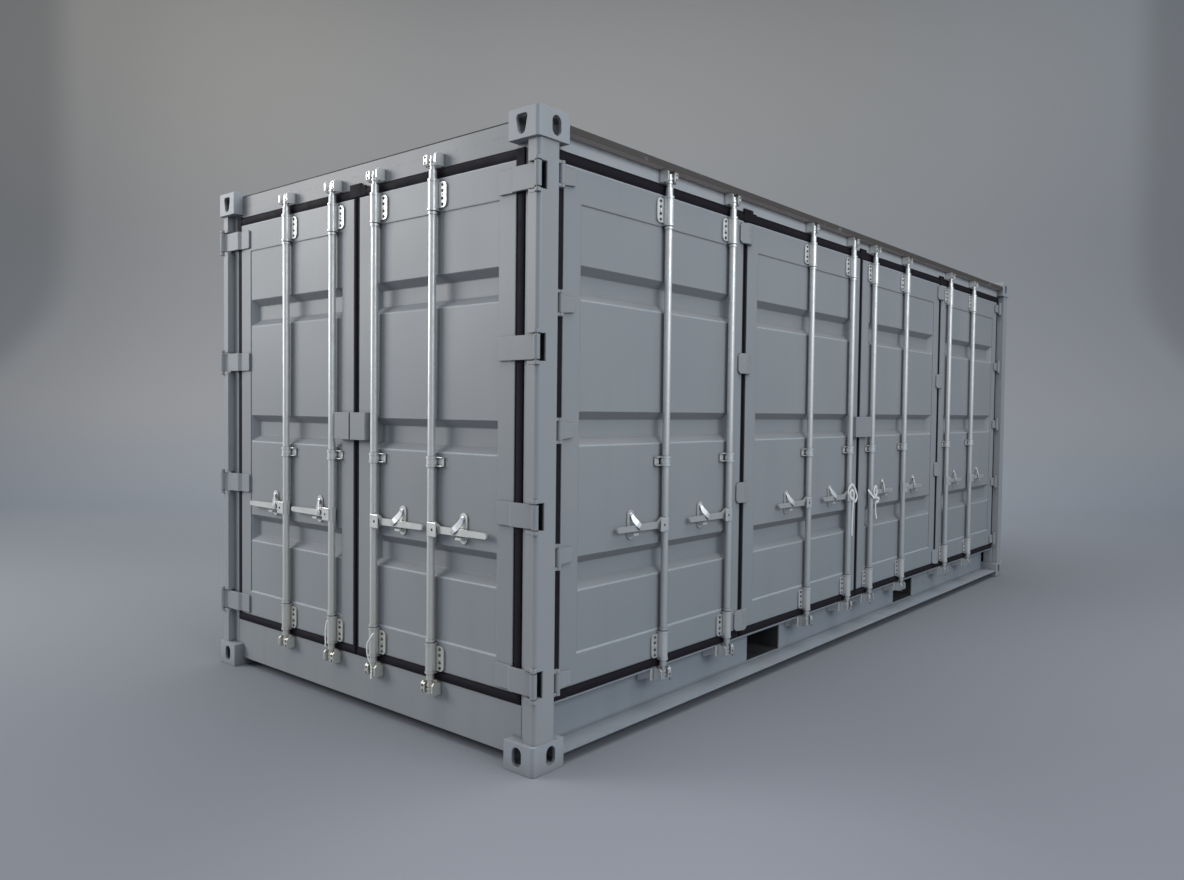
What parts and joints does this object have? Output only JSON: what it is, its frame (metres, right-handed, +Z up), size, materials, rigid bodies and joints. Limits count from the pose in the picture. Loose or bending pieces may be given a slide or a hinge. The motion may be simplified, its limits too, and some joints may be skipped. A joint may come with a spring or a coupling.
{
  "type": "side-opening shipping container",
  "caption": "Steel freight container with double doors at one end, folding doors along one long side, turning lock bars, corner fittings and fork pockets.",
  "frame": {"origin": "on the ground at the middle of the box", "axes": "+X along the length, away from the double-door end; -Y towards the side with the folding doors; +Z up"},
  "size_m": [6.058, 2.438, 2.591],
  "materials": {
    "painted_steel": "satin grey paint",
    "galvanised_gear": "galvanised, weathered",
    "rubber_seal": "matt black",
    "floor_boards": "varnished plywood",
    "pin_steel": "plain steel"
  },
  "bodies": {
    "root": {"top_corner_fittings": "painted_steel", "bottom_corner_fittings": "painted_steel", "door_posts": "painted_steel", "blind_posts": "painted_steel", "hinge_pins": "pin_steel", "end_headers": "painted_steel", "end_sills": "painted_steel", "side_header": "painted_steel", "side_sill": "painted_steel", "sill_webs": "painted_steel", "back_top_rail": "painted_steel", "back_sill": "painted_steel", "back_wall": "painted_steel", "blind_end_wall": "painted_steel", "roof": "painted_steel", "floor": "floor_boards", "floor_bearers": "painted_steel", "fork_pockets": "painted_steel", "side_leaf_1": "painted_steel", "side_leaf_2": "painted_steel", "side_leaf_3": "painted_steel", "side_leaf_4": "painted_steel", "side_seals": "rubber_seal", "side_post_hinges": "painted_steel", "side_fold_hinges": "painted_steel", "side_bearings": "galvanised_gear", "side_catches": "galvanised_gear", "end_keepers": "galvanised_gear", "side_keepers": "galvanised_gear", "side_lock_box": "painted_steel"},
    "door_far": {"door_far": "painted_steel", "door_far_seal": "rubber_seal", "door_far_hinges": "painted_steel", "door_far_bearings": "galvanised_gear", "door_far_catches": "galvanised_gear", "end_lock_cover": "painted_steel"},
    "door_near": {"door_near": "painted_steel", "door_near_seal": "rubber_seal", "door_near_hinges": "painted_steel", "door_near_bearings": "galvanised_gear", "door_near_catches": "galvanised_gear", "end_lock_box": "painted_steel"},
    "end_bar_1": {"end_bar_1": "galvanised_gear"},
    "end_bar_2": {"end_bar_2": "galvanised_gear"},
    "end_bar_3": {"end_bar_3": "galvanised_gear"},
    "end_bar_4": {"end_bar_4": "galvanised_gear"},
    "side_bar_1": {"side_bar_1": "galvanised_gear"},
    "side_bar_2": {"side_bar_2": "galvanised_gear"},
    "side_bar_3": {"side_bar_3": "galvanised_gear"},
    "side_bar_4": {"side_bar_4": "galvanised_gear"},
    "side_bar_5": {"side_bar_5": "galvanised_gear"},
    "side_bar_6": {"side_bar_6": "galvanised_gear"},
    "side_bar_7": {"side_bar_7": "galvanised_gear"},
    "side_bar_8": {"side_bar_8": "galvanised_gear"}
  },
  "joints": [
    {"name": "door_near_swing", "type": "hinge", "parent": "root", "child": "door_near", "pos_m": [-3.014, -1.204, 0], "axis": [0, 0, 1], "range_deg": [0, 265]},
    {"name": "door_far_swing", "type": "hinge", "parent": "root", "child": "door_far", "pos_m": [-3.014, 1.204, 0], "axis": [0, 0, -1], "range_deg": [0, 265]},
    {"name": "end_bar_1_turn", "type": "hinge", "parent": "door_far", "child": "end_bar_1", "pos_m": [-3.005, 0.575, 0], "axis": [0, 0, -1], "range_deg": [-100, 0]},
    {"name": "end_bar_2_turn", "type": "hinge", "parent": "door_far", "child": "end_bar_2", "pos_m": [-3.005, 0.168, 0], "axis": [0, 0, -1], "range_deg": [-100, 0]},
    {"name": "end_bar_3_turn", "type": "hinge", "parent": "door_near", "child": "end_bar_3", "pos_m": [-3.005, -0.168, 0], "axis": [0, 0, 1], "range_deg": [-100, 0]},
    {"name": "end_bar_4_turn", "type": "hinge", "parent": "door_near", "child": "end_bar_4", "pos_m": [-3.005, -0.575, 0], "axis": [0, 0, 1], "range_deg": [-100, 0]},
    {"name": "side_bar_1_turn", "type": "hinge", "parent": "root", "child": "side_bar_1", "pos_m": [-2.142, -1.195, 0], "axis": [0, 0, -1], "range_deg": [-100, 0]},
    {"name": "side_bar_2_turn", "type": "hinge", "parent": "root", "child": "side_bar_2", "pos_m": [-1.59, -1.195, 0], "axis": [0, 0, -1], "range_deg": [-100, 0]},
    {"name": "side_bar_3_turn", "type": "hinge", "parent": "root", "child": "side_bar_3", "pos_m": [-0.715, -1.195, 0], "axis": [0, 0, -1], "range_deg": [-100, 0]},
    {"name": "side_bar_4_turn", "type": "hinge", "parent": "root", "child": "side_bar_4", "pos_m": [-0.168, -1.195, 0], "axis": [0, 0, -1], "range_deg": [-100, 0]},
    {"name": "side_bar_5_turn", "type": "hinge", "parent": "root", "child": "side_bar_5", "pos_m": [0.168, -1.195, 0], "axis": [0, 0, 1], "range_deg": [-100, 0]},
    {"name": "side_bar_6_turn", "type": "hinge", "parent": "root", "child": "side_bar_6", "pos_m": [0.715, -1.195, 0], "axis": [0, 0, 1], "range_deg": [-100, 0]},
    {"name": "side_bar_7_turn", "type": "hinge", "parent": "root", "child": "side_bar_7", "pos_m": [1.59, -1.195, 0], "axis": [0, 0, 1], "range_deg": [-100, 0]},
    {"name": "side_bar_8_turn", "type": "hinge", "parent": "root", "child": "side_bar_8", "pos_m": [2.142, -1.195, 0], "axis": [0, 0, 1], "range_deg": [-100, 0]}
  ]
}
